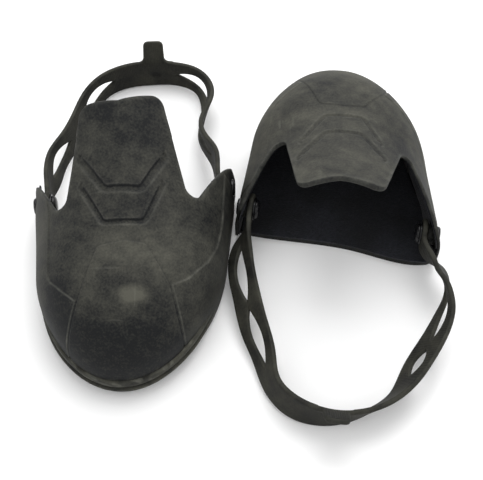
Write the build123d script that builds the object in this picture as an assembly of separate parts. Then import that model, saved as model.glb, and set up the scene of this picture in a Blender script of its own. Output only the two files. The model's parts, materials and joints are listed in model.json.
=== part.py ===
from build123d import *
import os
from math import cos, pi, radians, sin, sqrt

# A pair of slip-on safety toe-cap overshoes in black rubber, with slotted rubber heel straps.
# Each overshoe is drawn as a left one in its own frame, in millimetres: origin under the toe tip,
# +X to the lateral side, +Y back towards the heel, +Z up.  The right one is its mirror image.

# Driving dimensions of the outer form
TOE_X = 2.0              # the toe tip sits a little to the lateral side of the frame's origin
SIDE_BASE = {-1: 44.5, 1: 51.5}      # half-width reached by the toe curve, medial and lateral
SIDE_RUN = {-1: 64.0, 1: 81.0}       # length over which each toe curve opens
SIDE_FLARE = {-1: 0.135, 1: 0.095}   # further widening for each millimetre of length
BELT_Z = 16.0            # height up to which the side walls stand upright
CROWN_SHIFT = 1.5        # the crown lies this much further to the lateral side behind the toe
CROWN_RUN = 60.0
TOP_LINE = [(0, 17), (1, 23), (3, 29), (7, 36), (13, 43.5), (22, 50.5), (34, 56.5), (48, 60.5),
            (62, 63.5), (78, 68.5), (96, 75), (115, 82.5), (135, 91), (150, 97.5)]
ARCH_POWER = [(0, 2.2), (60, 2.15), (90, 1.85), (150, 1.8)]   # roundness of the cross-section
ARCH_POINTS = 14         # spans of each cross-section's arch
TOP_DROP = 0.65          # extra lowering of the top for each millimetre that a skin is set in
TOE_STATIONS = [0.25, 0.9, 2.4, 5.5, 11, 18]    # behind the front of each skin
BACK_STATIONS = [34, 48, 62, 78, 96, 115, 135, 150]
PLAN_STEPS = [0.004, 0.02, 0.06, 0.13, 0.23, 0.36, 0.52, 0.72, 1]   # of the length, for outlines in plan
REACH = 500.0            # of cutting blocks, larger than the whole overshoe

# Walls and soles
WALL = 3.0               # rubber wall of the upper
TOE_WALL = 5.2           # rubber, toe cap and rubber again, over the toe
CAP_THICKNESS = 1.8
CAP_END = 66.0           # where the steel cap stops
CAP_FADE = (70.0, 92.0)  # the wall thins from the cap's thickness to the plain wall between these
STRIP_LENGTH = 2.4       # soft strip on the cap's rear edge
LINING = 0.9
BOND = 0.1               # adhesive line left between bonded layers
SOLE = 3.5               # thickness of the outsole plate
SOLE_BEVEL = 5.0         # how far the sole's lower edge is tucked in
SOLE_TOP_INSET = 1.0
INSOLE = 1.3
INSOLE_PLAY = 0.3
BUMPER_TOP = 6.6         # top of the outsole's raised toe edge
RIM_BOTTOM, RIM_TOP = 7.3, 16.5
RIM_DEPTH = 2.2          # the upper is set back behind the rim by this much at the toe
RIM_START, RIM_END = 20.0, 60.0      # the rim fades into the side walls between these
TREAD_DEPTH = 1.2
TREAD_WIDTH = 3.0
TREAD_PITCH = 9.0
TREAD_RANGE = (24.0, 112.0)
TREAD_MARGIN = 13.0      # from a groove's end to the side wall
TREAD_BOW = 3.0          # the middle of a groove lies this much further forward

# Top opening, in plan: tongue between two rounded notches, and the two side wings
NOTCH = {-1: (-31.8, 80.7), 1: (41.8, 90.1)}
WING_TIP = {-1: (-56.5, 124.0), 1: (64.5, 139.0)}
REAR_EDGE = [(-50, 121), (-20, 125), (15, 129.5), (35, 135), (50, 138), (64, 137.5)]
TONGUE_CORNER = {-1: (-22.6, 143.5), 1: (23.6, 147.0)}
TONGUE_MIDDLE = (-0.5, 141.5)
TONGUE_RADIUS = 5.5
NOTCH_RADIUS = 5.0
WING_RADIUS = 1.5

# Strap pivots: riveted pads inside the wings
PIVOT = {-1: (-49.55, 117.0, 24.0), 1: (56.7, 130.0, 24.0)}
PAD_RADIUS = 8.5
STRAP_THICKNESS = 3.0
PAD_PLAY = 0.3           # gap on each side of the pad
BOSS_RADIUS, BOSS_HEIGHT = 6.0, 5.0
SHANK_RADIUS = 2.5
STRAP_HOLE_PLAY = 0.06
SHANK_IN_CAP = 2.0       # length of the shank held in the inner cap
HEAD_PLAY = 0.6          # between the outer head and the pocket it sits in
HEAD_RADIUS, HEAD_HEIGHT = 5.5, 1.8
HEAD_SEAT = {-1: 7.0, 1: 7.8}        # outer rivet head's seat, measured from the pad's middle
RIVET_WASHER_RADIUS, RIVET_WASHER_THICKNESS = 7.0, 0.8
RIVET_CAP_RADIUS, RIVET_CAP_HEIGHT = 6.0, 3.0

# Straps: x, y, z of the centre line and the lean of the band, in degrees outward from upright
LEFT_STRAP = [(-49.55, 117, 24, 0), (-50.4, 124, 23.3, 0), (-51.2, 131, 22.3, 4), (-50.9, 143, 20.2, 20),
              (-49.8, 158, 17.6, 26), (-44, 176, 15, 22), (-38.5, 195, 12.8, 26), (-34, 213, 11.7, 24),
              (-25.5, 228.5, 11.3, 12), (-10, 238, 11.3, 5), (8, 241, 11.3, 4), (25, 240, 11.3, 6),
              (40, 233, 11.3, 16), (47, 218, 11.3, 24), (45, 201, 11.5, 11), (43, 189, 12.4, 4),
              (46, 176, 14.2, 2), (53, 160, 18, 6), (55.2, 146, 21.4, 3), (55.9, 137, 23.3, 0),
              (56.7, 130, 24, 0)]
RIGHT_STRAP = [(-49.55, 117, 24, 0), (-50.4, 124, 23.3, 0), (-51.5, 131, 21.9, -12), (-54, 143, 18, -40),
               (-53.6, 156, 15, -53), (-50, 172, 14.5, -54), (-44, 193, 11.8, -54), (-37.5, 211, 11.3, -36),
               (-31.5, 230, 11.3, -17), (-21, 241, 11.3, -12), (-7, 246.3, 11.3, -3), (9, 246.5, 11.3, 8),
               (24, 241.5, 11.3, 18), (39, 231, 11.3, 25), (50, 214, 11.6, 44), (59.5, 198, 12.4, 44),
               (67.5, 181, 14.5, 30), (70, 167, 17, -2), (66.5, 153, 19.6, -33), (59.5, 144.5, 22, -12),
               (55.95, 136.8, 23.3, 0), (56.25, 133.6, 23.65, 0), (56.7, 130, 24, 0)]
BAND_WIDTH = [(0, 13), (9, 13.5), (22, 17), (60, 17), (100, 17.5), (125, 18.5), (150, 20), (500, 20)]
SLOTS = {                # start and end of each slot, measured from the medial and the lateral pivot
    "left": {-1: [(24, 62), (84, 127)], 1: [(32, 78), (84, 127)]},
    "right": {-1: [(24, 64), (67, 108)], 1: [(30, 76), (80, 102)]},
}
SLOT_OPENING = 9.0
SLOT_FULLNESS = 0.7      # under 1 makes the slot fuller towards its ends
STRAP_STEP = 5.0
TAB_LENGTH, TAB_WIDTH, TAB_THICKNESS = 14.0, 13.0, 2.8
TAB_LEAN = {"left": 34, "right": 44}
TAB_SHIFT = {"left": 7.0, "right": 2.0}    # from the strap's middle towards the lateral side
TAB_ROOT = 2.0           # depth to which the tab is moulded into the band

# Where each overshoe stands on the floor
PLACE = {"left": (-70.7, -107.1), "right": (61.8, 122.0)}
RIGHT_TURN = -3.1


def curve_value(table, x):
    """Smooth value at x through a table of (x, value) rows, held at both ends."""
    xs = [row[0] for row in table]
    ys = [row[1] for row in table]
    if x <= xs[0]:
        return ys[0]
    if x >= xs[-1]:
        return ys[-1]
    i = max(j for j in range(len(xs) - 1) if xs[j] <= x)

    def slope(j):
        low, high = max(j - 1, 0), min(j + 1, len(xs) - 1)
        return (ys[high] - ys[low]) / (xs[high] - xs[low])

    span = xs[i + 1] - xs[i]
    t = (x - xs[i]) / span
    rise = (2 * t**3 - 3 * t**2 + 1) * ys[i] + (3 * t**2 - 2 * t**3) * ys[i + 1]
    bend = (t**3 - 2 * t**2 + t) * span * slope(i) + (t**3 - t**2) * span * slope(i + 1)
    return rise + bend


def fade(y, start, end):
    """One before start, nought after end, and smooth between."""
    t = min(max((y - start) / (end - start), 0), 1)
    return 1 - t * t * (3 - 2 * t)


def half_width(side, y, inset=0.0):
    """Distance from the toe tip's line to the side wall, for a surface set in by inset."""
    run = SIDE_RUN[side] - inset
    u = min(max(y - inset, 0) / run, 1)
    return (SIDE_BASE[side] - inset) * sqrt(1 - (1 - u) ** 2) + SIDE_FLARE[side] * y


def side_x(side, y, inset=0.0):
    return TOE_X + side * half_width(side, y, inset)


def crown_x(y):
    return TOE_X + CROWN_SHIFT * min(y / CROWN_RUN, 1)


def section(y, inset, floor_z):
    """Closed cross-section of the upper at y: upright sides, rounded arch, flat bottom."""
    crown = crown_x(y)
    top = curve_value(TOP_LINE, y - inset) - TOP_DROP * inset
    power = 2 / curve_value(ARCH_POWER, y)
    belt = min(BELT_Z, top - 2)
    points = []
    for i in range(ARCH_POINTS + 1):
        angle = pi * i / ARCH_POINTS
        side = 1 if 2 * i <= ARCH_POINTS else -1
        reach = abs(side_x(side, y, inset) - crown) * abs(cos(angle)) ** power
        points.append((crown + side * reach, y, belt + (top - belt) * abs(sin(angle)) ** power))
    low_right = (points[0][0], y, floor_z)
    low_left = (points[-1][0], y, floor_z)
    arch = Spline(*points, tangents=[(0, 0, 1), (0, 0, -1)])
    sides = Polyline(points[-1], low_left, low_right, points[0])
    return make_face(Wire([arch] + sides.edges()))


def rim_setback(y):
    return RIM_DEPTH * fade(y, RIM_START, RIM_END)


def inner_inset(y):
    """Inset of the upper's inner face: thick over the toe cap, thin at the tongue and wings."""
    return WALL + (TOE_WALL + RIM_DEPTH - WALL) * fade(y, *CAP_FADE)


def vault(inset, floor_z):
    """Solid vault, from the toe to past the tongue, whose skin lies inside the outer form by inset(y)."""
    stations = [inset(0) + y for y in TOE_STATIONS] + BACK_STATIONS
    return loft([section(y, inset(y), floor_z) for y in stations])


def in_front_of(y):
    return Pos(0, y - REACH / 2, 0) * Box(REACH, REACH, REACH)


def below(z):
    return Pos(0, 0, z - REACH / 2) * Box(REACH, REACH, REACH)


def toe_outline(inset, z, rear=None):
    """Closed plan outline around the toe; inset(y) is how far it lies inside the outer form."""
    last = {side: (rear if rear else REAR_EDGE[0 if side < 0 else -1][1]) for side in (-1, 1)}
    tip_y = inset(0)
    sides = {}
    for side in (-1, 1):
        ys = [tip_y + step * (last[side] - tip_y) for step in PLAN_STEPS]
        sides[side] = [(side_x(side, y, inset(y)), y, z) for y in ys]
    tip = (TOE_X, tip_y, z)
    toe = Spline(*(sides[-1][::-1] + [tip] + sides[1]))
    if rear:
        back = Line(sides[1][-1], sides[-1][-1])
    else:
        middle = [(x, y, z) for x, y in REAR_EDGE[1:-1]]
        back = Spline(*([sides[1][-1]] + middle[::-1] + [sides[-1][-1]]))
    return make_face(Wire([toe, back]))


def raised(face, height):
    return extrude(face, amount=height, dir=(0, 0, 1))


def pivot_axis():
    a, b = Vector(*PIVOT[-1]), Vector(*PIVOT[1])
    return (b - a).normalized()


def disc(side, start, height, radius):
    """Cylinder on the strap's hinge axis, from start outward along it, measured from the pad's middle."""
    outward = pivot_axis() * side
    origin = Vector(*PIVOT[side]) + outward * start
    return extrude(Plane(origin, z_dir=outward) * Circle(radius), amount=height)


def top_opening():
    """Prism that keeps the toe, the wings and the tongue of the upper."""
    outline = Polyline(
        (-80, -10), (80, -10), (80, WING_TIP[1][1]), WING_TIP[1], NOTCH[1], TONGUE_CORNER[1],
        TONGUE_MIDDLE, TONGUE_CORNER[-1], NOTCH[-1], WING_TIP[-1], (-80, WING_TIP[-1][1]), close=True)
    face = make_face(outline)
    for corners, radius in ((NOTCH, NOTCH_RADIUS), (TONGUE_CORNER, TONGUE_RADIUS), (WING_TIP, WING_RADIUS)):
        spots = [Vector(*spot) for spot in corners.values()]
        sharp = [v for v in face.vertices() if min((Vector(v.X, v.Y) - spot).length for spot in spots) < 0.01]
        face = fillet(sharp, radius)
    return raised(face, 130)


def cap_inset(_):
    """The toe cap's outer face is a steady depth under the rubber."""
    return WALL + RIM_DEPTH


def upper_shell(outer, cap_space):
    """Moulded rubber upper: vamp, tongue and wings, with a pocket for the toe cap."""
    shell = outer - below(SOLE)
    shell -= vault(inner_inset, SOLE - 1)
    shell -= cap_space & in_front_of(CAP_END + BOND + STRIP_LENGTH)
    shell = shell & top_opening()
    for side in (-1, 1):
        pad_face = STRAP_THICKNESS / 2 + PAD_PLAY
        shell += disc(side, pad_face, BOSS_HEIGHT, BOSS_RADIUS)
        shell -= disc(side, -20, 60, SHANK_RADIUS + STRAP_HOLE_PLAY)
        shell -= disc(side, HEAD_SEAT[side], 20, HEAD_RADIUS + HEAD_PLAY)
    return shell


def cap_wall(cap_space):
    """Wall of the toe cap and of the strip behind it, filling the upper's pocket."""
    return cap_space - vault(lambda y: cap_inset(y) + CAP_THICKNESS, SOLE - 1) - below(SOLE + BOND)


def toe_cap(wall):
    """Pressed steel toe cap inside the rubber."""
    return wall & in_front_of(CAP_END)


def cap_strip(wall):
    """Soft strip bonded along the rear edge of the toe cap."""
    return (wall & in_front_of(CAP_END + BOND + STRIP_LENGTH)) - in_front_of(CAP_END + BOND)


def lining():
    """Napped textile lining on the inner face of the upper."""
    outer = vault(lambda y: inner_inset(y) + BOND, SOLE + INSOLE + 2 * BOND)
    inner = vault(lambda y: inner_inset(y) + BOND + LINING, SOLE)
    cloth = (outer - inner) & top_opening()
    for side in (-1, 1):
        cloth -= disc(side, -20, 60, PAD_RADIUS + 1.0)
    return cloth


def tread_groove(y):
    """One curved tread groove across the sole, short of its edges."""
    left = side_x(-1, y) + TREAD_MARGIN
    right = side_x(1, y) - TREAD_MARGIN
    arc = ThreePointArc((left, y, 0), ((left + right) / 2, y - TREAD_BOW, 0), (right, y, 0))
    profile = Plane(arc @ 0, z_dir=arc % 0) * Rectangle(TREAD_WIDTH, 2 * TREAD_DEPTH)
    return sweep(profile, Wire([arc]))


def outsole(outer):
    """Flat rubber sole plate with a tucked-in lower edge, tread grooves and a raised toe edge."""
    bottom = toe_outline(lambda y: SOLE_BEVEL, 0)
    top = toe_outline(lambda y: SOLE_TOP_INSET, SOLE)
    plate = loft([bottom, top], ruled=True)
    edge = raised(top, BUMPER_TOP - SOLE) & in_front_of(RIM_END)
    sole = plate + (edge - outer)
    first, last = TREAD_RANGE
    for i in range(1 + int((last - first) / TREAD_PITCH)):
        sole -= tread_groove(first + i * TREAD_PITCH)
    return sole


def toe_rim(outer):
    """Rubber foxing band around the toe, fading into the side walls."""
    band = raised(toe_outline(lambda y: 0.0, RIM_BOTTOM, RIM_END), RIM_TOP - RIM_BOTTOM)
    return band - outer


def insole():
    """Thin textile footbed laid on the outsole inside the walls."""
    bed = vault(lambda y: inner_inset(y) + INSOLE_PLAY, SOLE + BOND)
    return bed & raised(toe_outline(lambda y: 0.0, SOLE + BOND), INSOLE)


def rivet_post(side):
    """Rubber-headed rivet: domed head outside the wing and a shank through wing and strap."""
    seat = HEAD_SEAT[side]
    inner_end = STRAP_THICKNESS / 2 + PAD_PLAY + RIVET_WASHER_THICKNESS + SHANK_IN_CAP
    shank = disc(side, -inner_end, seat + inner_end, SHANK_RADIUS)
    head = disc(side, seat, HEAD_HEIGHT, HEAD_RADIUS)
    rim = head.edges().filter_by(GeomType.CIRCLE).sort_by(Axis(Vector(*PIVOT[side]), pivot_axis() * side))[-1]
    return shank + fillet(rim, HEAD_HEIGHT * 0.8)


def rivet_washer(side):
    """Flat ring between the strap's pad and the rivet's inner cap."""
    start = -(STRAP_THICKNESS / 2 + PAD_PLAY + RIVET_WASHER_THICKNESS)
    ring = disc(side, start, RIVET_WASHER_THICKNESS, RIVET_WASHER_RADIUS)
    return ring - disc(side, start - 1, 5, SHANK_RADIUS)


def rivet_cap(side):
    """Domed cap pressed on the rivet's inner end."""
    top = STRAP_THICKNESS / 2 + PAD_PLAY + RIVET_WASHER_THICKNESS
    cap = disc(side, -top - RIVET_CAP_HEIGHT, RIVET_CAP_HEIGHT, RIVET_CAP_RADIUS)
    rim = cap.edges().filter_by(GeomType.CIRCLE).sort_by(Axis(Vector(*PIVOT[side]), pivot_axis() * side))[0]
    cap = fillet(rim, RIVET_CAP_HEIGHT * 0.7)
    return cap - disc(side, -top - SHANK_IN_CAP, 10, SHANK_RADIUS)


def slot_spans(side_name, length):
    """Start and end of every slot, measured along the whole strap from its medial pivot."""
    spans = list(SLOTS[side_name][-1])
    return spans + [(length - end, length - start) for start, end in SLOTS[side_name][1]]


def strap_samples(side_name):
    """Frames along the strap: distance, centre, width direction and thickness direction."""
    route = LEFT_STRAP if side_name == "left" else RIGHT_STRAP
    places = [Vector(*row[:3]) for row in route]
    spline = Spline(*places)
    knots = [spline.param_at_point(place) * spline.length for place in places]
    leans = [(knot, row[3]) for knot, row in zip(knots, route)]
    marks = {0.0, spline.length}
    for span in slot_spans(side_name, spline.length):
        marks.update(span)
    marks = sorted(marks)
    distances = []
    for low, high in zip(marks, marks[1:]):
        steps = max(1, round((high - low) / STRAP_STEP))
        distances += [low + (high - low) * i / steps for i in range(steps)]
    distances.append(spline.length)
    frames = []
    for distance in distances:
        along = spline.tangent_at(distance / spline.length)
        outward = along.cross(Vector(0, 0, -1)).normalized()
        upright = outward.cross(along).normalized()
        if upright.Z < 0:
            upright = -upright
        lean = radians(curve_value(leans, distance))
        across = upright * cos(lean) + outward * sin(lean)
        through = across.cross(along).normalized()
        frames.append((distance, spline.position_at(distance / spline.length), across, through))
    return frames, spline.length


def strap_slice(frame, low, high):
    """Rectangular cross-section of the band between two offsets from its centre line."""
    _, centre, across, through = frame
    half = through * (STRAP_THICKNESS / 2)
    corners = [centre + across * low - half, centre + across * high - half,
               centre + across * high + half, centre + across * low + half]
    return make_face(Polyline(*corners, close=True))


def slot_gap(distance, spans):
    """Half-opening of the strap's lens-shaped slots at a distance along it."""
    for start, end in spans:
        if start + 1e-6 < distance < end - 1e-6:
            return SLOT_OPENING / 2 * sin(pi * (distance - start) / (end - start)) ** SLOT_FULLNESS
    return 0.0


def heel_strap(side_name):
    """One-piece moulded rubber strap: slotted band, round riveted pads and a pull tab at the heel."""
    frames, length = strap_samples(side_name)
    spans = slot_spans(side_name, length)
    pieces = []
    run = []

    def close_run():
        if len(run) > 1:
            for pick in (0, 1):
                faces = [pair[pick] for pair in run]
                if all(faces):
                    pieces.append(loft(faces, ruled=True))
        run.clear()

    for i, frame in enumerate(frames):
        distance = frame[0]
        half = curve_value(BAND_WIDTH, min(distance, length - distance)) / 2
        gap = slot_gap(distance, spans)
        split = (strap_slice(frame, -half, -gap), strap_slice(frame, gap, half))
        whole = (strap_slice(frame, -half, half), None)
        in_slot = any(abs(distance - mark) < 1e-6 for span in spans for mark in span)
        if gap > 0:
            run.append(split)
        elif in_slot:
            was_split = bool(run) and run[-1][1] is not None
            run.append(split if was_split else whole)
            close_run()
            run.append(whole if was_split else split)
        else:
            run.append(whole)
    close_run()
    strap = pieces[0]
    for piece in pieces[1:]:
        strap += piece
    strap += pull_tab(side_name, frames, length)
    for side in (-1, 1):
        strap += disc(side, -STRAP_THICKNESS / 2, STRAP_THICKNESS, PAD_RADIUS)
        strap -= disc(side, -10, 20, SHANK_RADIUS + STRAP_HOLE_PLAY)
    return strap


def pull_tab(side_name, frames, length):
    """Flat tab on the top edge of the heel band, leaning back."""
    middle = length / 2 + TAB_SHIFT[side_name]
    _, centre, across, through = min(frames, key=lambda frame: abs(frame[0] - middle))
    along = across.cross(through).normalized()
    outward = along.cross(Vector(0, 0, 1)).normalized()
    if outward.Y < 0:
        outward = -outward
    lean = radians(TAB_LEAN[side_name])
    rise = Vector(0, 0, 1) * cos(lean) + outward * sin(lean)
    half = curve_value(BAND_WIDTH, length / 2) / 2
    root = centre + across * (half - TAB_ROOT)
    face = Plane(root, x_dir=along, z_dir=rise) * Rectangle(TAB_WIDTH, TAB_THICKNESS)
    return extrude(face, amount=TAB_LENGTH + TAB_ROOT, dir=rise)


def common_parts():
    """The pieces that are alike, but mirrored, in both overshoes."""
    outer = vault(rim_setback, 0)
    cap_space = vault(cap_inset, SOLE - 1)
    wall = cap_wall(cap_space)
    parts = {
        "outsole": outsole(outer), "insole": insole(), "toe_rim": toe_rim(outer),
        "upper_shell": upper_shell(outer, cap_space), "toe_cap": toe_cap(wall),
        "toe_cap_strip": cap_strip(wall), "lining": lining(),
    }
    for side, word in ((-1, "medial"), (1, "lateral")):
        parts[word + "_rivet_post"] = rivet_post(side)
        parts[word + "_rivet_washer"] = rivet_washer(side)
        parts[word + "_rivet_cap"] = rivet_cap(side)
    return parts


def placed_pair():
    """Both overshoes where they stand on the floor."""
    common = common_parts()
    pair = {}
    for side_name in ("left", "right"):
        x, y = PLACE[side_name]
        for name, shape in {**common, "heel_strap": heel_strap(side_name)}.items():
            if side_name == "right":
                shape = Rot(0, 0, RIGHT_TURN) * shape.mirror(Plane.XZ)
            pair[side_name + "_" + name] = Pos(x, y, 0) * shape
    return pair


def main():
    os.makedirs("parts", exist_ok=True)
    pair = placed_pair()
    boxes = [shape.bounding_box() for shape in pair.values()]
    low = Vector(min(b.min.X for b in boxes), min(b.min.Y for b in boxes), min(b.min.Z for b in boxes))
    high = Vector(max(b.max.X for b in boxes), max(b.max.Y for b in boxes), max(b.max.Z for b in boxes))
    home = Pos(-(low.X + high.X) / 2, -(low.Y + high.Y) / 2, -low.Z)
    for name, shape in pair.items():
        export_step(home * shape, "parts/" + name + ".step")
    for side_name in ("left", "right"):
        for side in (-1, 1):
            x, y, z = PIVOT[side]
            spot = Pos(*PLACE[side_name], 0) * (
                Pos(x, y, z) if side_name == "left" else Rot(0, 0, RIGHT_TURN) * Pos(x, -y, z))
            print(side_name, side, "pivot", (home * spot).position)
    print("home", home.position, "size", high - low)


main()
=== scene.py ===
import json
from math import acos, pi, radians

import bmesh
import bpy
import numpy as np
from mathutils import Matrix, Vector
from mathutils.geometry import delaunay_2d_cdt


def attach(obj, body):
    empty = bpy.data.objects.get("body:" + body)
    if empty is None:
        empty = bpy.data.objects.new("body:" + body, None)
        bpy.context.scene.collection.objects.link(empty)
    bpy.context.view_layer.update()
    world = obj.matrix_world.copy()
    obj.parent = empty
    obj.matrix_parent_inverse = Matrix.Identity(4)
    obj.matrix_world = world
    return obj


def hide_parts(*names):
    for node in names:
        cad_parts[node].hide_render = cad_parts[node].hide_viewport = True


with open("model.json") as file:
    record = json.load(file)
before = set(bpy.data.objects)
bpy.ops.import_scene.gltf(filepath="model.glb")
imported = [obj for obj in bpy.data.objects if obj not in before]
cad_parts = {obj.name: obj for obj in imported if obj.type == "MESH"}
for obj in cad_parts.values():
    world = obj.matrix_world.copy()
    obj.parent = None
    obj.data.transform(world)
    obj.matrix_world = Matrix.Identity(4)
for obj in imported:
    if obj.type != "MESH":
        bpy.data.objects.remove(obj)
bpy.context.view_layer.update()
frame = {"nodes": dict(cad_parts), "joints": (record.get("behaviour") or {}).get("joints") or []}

# A pair of black rubber toe-cap overshoes.  Shapes are worked out in each overshoe's own frame, in
# millimetres: origin under the toe tip, +X lateral, +Y back towards the heel, +Z up.  The right
# overshoe is the mirror image.  Sizes shared with the CAD model keep its names.

MM = 0.001

# Outer form
TOE_X = 2.0
SIDE_BASE = {-1: 44.5, 1: 51.5}
SIDE_RUN = {-1: 64.0, 1: 81.0}
SIDE_FLARE = {-1: 0.135, 1: 0.095}
BELT_Z = 16.0
CROWN_SHIFT, CROWN_RUN = 1.5, 60.0
TOP_LINE = [(0, 17), (1, 23), (3, 29), (7, 36), (13, 43.5), (22, 50.5), (34, 56.5), (48, 60.5),
            (62, 63.5), (78, 68.5), (96, 75), (115, 82.5), (135, 91), (150, 97.5)]
TOP_DROP = 0.65
ARCH_POWER = [(0, 2.2), (60, 2.15), (90, 1.85), (150, 1.8)]
WALL = 3.0
TOE_WALL = 5.2
WING_THINNING = 1.1      # how much thinner the wings are, so that the strap swings clear of them
CAP_FADE = (70.0, 92.0)
SOLE = 3.5
RIM_BOTTOM, RIM_TOP = 7.3, 16.5
RIM_DEPTH = 2.2
RIM_START, RIM_END = 20.0, 60.0
TOE_BLUNTNESS = 58.0     # how far the toe's roundness reaches back
UPPER_MIDDLE = (TOE_X, 100, 0)

# Top opening, in plan
NOTCH = {-1: (-31.8, 80.7), 1: (41.8, 90.1)}
WING_TIP = {-1: (-56.5, 124.0), 1: (64.5, 139.0)}
TONGUE_CORNER = {-1: (-22.6, 143.5), 1: (23.6, 147.0)}
TONGUE_MIDDLE = (-0.5, 141.5)
TONGUE_RADIUS, NOTCH_RADIUS = 5.5, 5.0
WING_RADIUS = 2.5        # a little rounder than in the CAD model

# Straps
PIVOT = {-1: (-49.55, 117.0, 24.0), 1: (56.7, 130.0, 24.0)}
PAD_RADIUS = 8.5
STRAP_THICKNESS = 3.0
PAD_PLAY = 0.3
BOSS_RADIUS, BOSS_HEIGHT = 6.0, 5.0
SHANK_RADIUS = 2.5
STRAP_HOLE_PLAY = 0.06
SHANK_HOLE = SHANK_RADIUS + STRAP_HOLE_PLAY
RIVET_WASHER_THICKNESS = 0.8
# Route of each strap's middle line from the medial pivot round the heel: x, y, z, lean in degrees
LEFT_STRAP = [(-49.55, 117, 24, 0), (-50.4, 124, 23.3, 0), (-51.2, 131, 22.3, 4), (-50.9, 143, 20.2, 20),
              (-49.8, 158, 17.6, 26), (-44, 176, 15, 22), (-38.5, 195, 12.8, 26), (-34, 213, 11.7, 24),
              (-25.5, 228.5, 11.3, 12), (-10, 238, 11.3, 5), (8, 241, 11.3, 4), (25, 240, 11.3, 6),
              (40, 233, 11.3, 16), (47, 218, 11.3, 24), (45, 201, 11.5, 11), (43, 189, 12.4, 4),
              (46, 176, 14.2, 2), (53, 160, 18, 6), (55.2, 146, 21.4, 3), (55.9, 137, 23.3, 0),
              (56.7, 130, 24, 0)]
RIGHT_STRAP = [(-49.55, 117, 24, 0), (-50.4, 124, 23.3, 0), (-51.5, 131, 21.9, -12), (-54, 143, 18, -40),
               (-53.6, 156, 15, -53), (-50, 172, 14.5, -54), (-44, 193, 11.8, -54), (-37.5, 211, 11.3, -36),
               (-31.5, 230, 11.3, -17), (-21, 241, 11.3, -12), (-7, 246.3, 11.3, -3), (9, 246.5, 11.3, 8),
               (24, 241.5, 11.3, 18), (39, 231, 11.3, 25), (50, 214, 11.6, 44), (59.5, 198, 12.4, 44),
               (67.5, 181, 14.5, 30), (70, 167, 17, -2), (66.5, 153, 19.6, -33), (59.5, 144.5, 22, -12),
               (55.95, 136.8, 23.3, 0), (56.25, 133.6, 23.65, 0), (56.7, 130, 24, 0)]
# Width of the band at a distance from its nearer pivot
BAND_WIDTH = [(0, 13), (9, 13.5), (22, 17), (60, 17), (100, 17.5), (125, 18.5), (150, 20), (500, 20)]
# Start and end of each slot, measured from the medial (-1) or lateral (1) pivot
SLOTS = {
    "left": {-1: [(24, 62), (84, 127)], 1: [(32, 78), (84, 127)]},
    "right": {-1: [(24, 64), (67, 108)], 1: [(30, 76), (80, 102)]},
}
SLOT_OPENING, SLOT_FULLNESS = 9.0, 0.7
TAB_LENGTH, TAB_WIDTH = 14.0, 13.0
TAB_TAPER = 0.6
TAB_ROOT_RADIUS, TAB_TIP_RADIUS = 4.2, 2.2
TAB_BEND = 5.0           # length over which the tab turns upright
TAB_LEAN = {"left": 34, "right": 44}
TAB_SHIFT = {"left": 7.0, "right": 2.0}

# Where each overshoe stands
PLACE = {"left": (-70.7, -107.1), "right": (61.8, 122.0)}
RIGHT_TURN = -3.1

# Moulded relief of the upper, in plan: corners are x, y and radius
CHEVRONS = [([(-20.6, 114.5, 0), (-6.2, 96.0, 3), (12.8, 96.0, 3), (24.2, 114.5, 0)], 4.4),
            ([(-19.8, 98.5, 0), (-6.3, 76.8, 3), (15.2, 77.6, 3), (24.2, 99.0, 0)], 3.4)]
CHEVRON_DEPTH = 1.0
TOE_PANEL = [(-28, 6, 0), (-25.4, 19, 4), (-19.6, 34.5, 3), (-15.8, 44.5, 3), (-9.8, 62.3, 3),
             (5, 65.2, 20), (17.6, 64, 3), (21, 58.5, 2), (30.5, 44.2, 3), (35.2, 29, 3), (38.4, 19, 4),
             (41, 6, 0), (5, -12, 0)]
SIDE_PANELS = [
    [(-21.0, 34.5, 0), (-29.5, 41.8, 10), (-38.6, 51.0, 9), (-39.6, 66, 10), (-41.8, 92, 20), (-46, 112, 0),
     (-95, 112, 0), (-95, -12, 0), (-29.5, 4, 0), (-27.0, 18.6, 4)],
    [(32.0, 44.0, 0), (40.6, 50.0, 18), (51.0, 64.5, 30), (56.0, 78, 30), (58.6, 95, 20), (60.0, 128, 0),
     (95, 128, 0), (95, -12, 0), (43, 4, 0), (39.9, 19, 4), (36.7, 29.5, 3)]]
PANEL_HEIGHT = {"toe": 0.5, "side": 0.5}
BEAD_HEIGHT, BEAD_WIDTH = 0.4, 2.4

# Lining
LINING_SETBACK, LINING_GLUE, LINING_THICKNESS = 1.5, 0.15, 0.75
LINING_CLEARANCE = 2.5   # between the lining and a strap pad

# Rounding of a sheet's edges, as a share of half its thickness
UPPER_BULGE, LINING_BULGE, STRAP_BULGE = 0.6, 0.6, 0.62

# Mesh spacing
COARSE, FINE, EDGE_STEP = 1.9, 0.6, 1.1
FINE_REACH = 1.7


# ---------------------------------------------------------------- plain geometry

def curve_value(table, x):
    """Smooth values at x through a table of (x, value) rows, held at both ends."""
    xs, ys = np.array(table, float).T
    x = np.clip(x, xs[0], xs[-1])
    i = np.clip(np.searchsorted(xs, x, side="right") - 1, 0, len(xs) - 2)
    low = np.maximum(np.arange(len(xs)) - 1, 0)
    high = np.minimum(np.arange(len(xs)) + 1, len(xs) - 1)
    slope = (ys[high] - ys[low]) / (xs[high] - xs[low])
    span = xs[i + 1] - xs[i]
    t = (x - xs[i]) / span
    rise = (2 * t**3 - 3 * t**2 + 1) * ys[i] + (3 * t**2 - 2 * t**3) * ys[i + 1]
    return rise + (t**3 - 2 * t**2 + t) * span * slope[i] + (t**3 - t**2) * span * slope[i + 1]


def smooth(t):
    """A soft step from nought at 0 to one at 1."""
    t = np.clip(t, 0, 1)
    return t * t * (3 - 2 * t)


def fade(y, start, end):
    """A soft step from one at the start to nought at the end."""
    return 1 - smooth((y - start) / (end - start))


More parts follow.
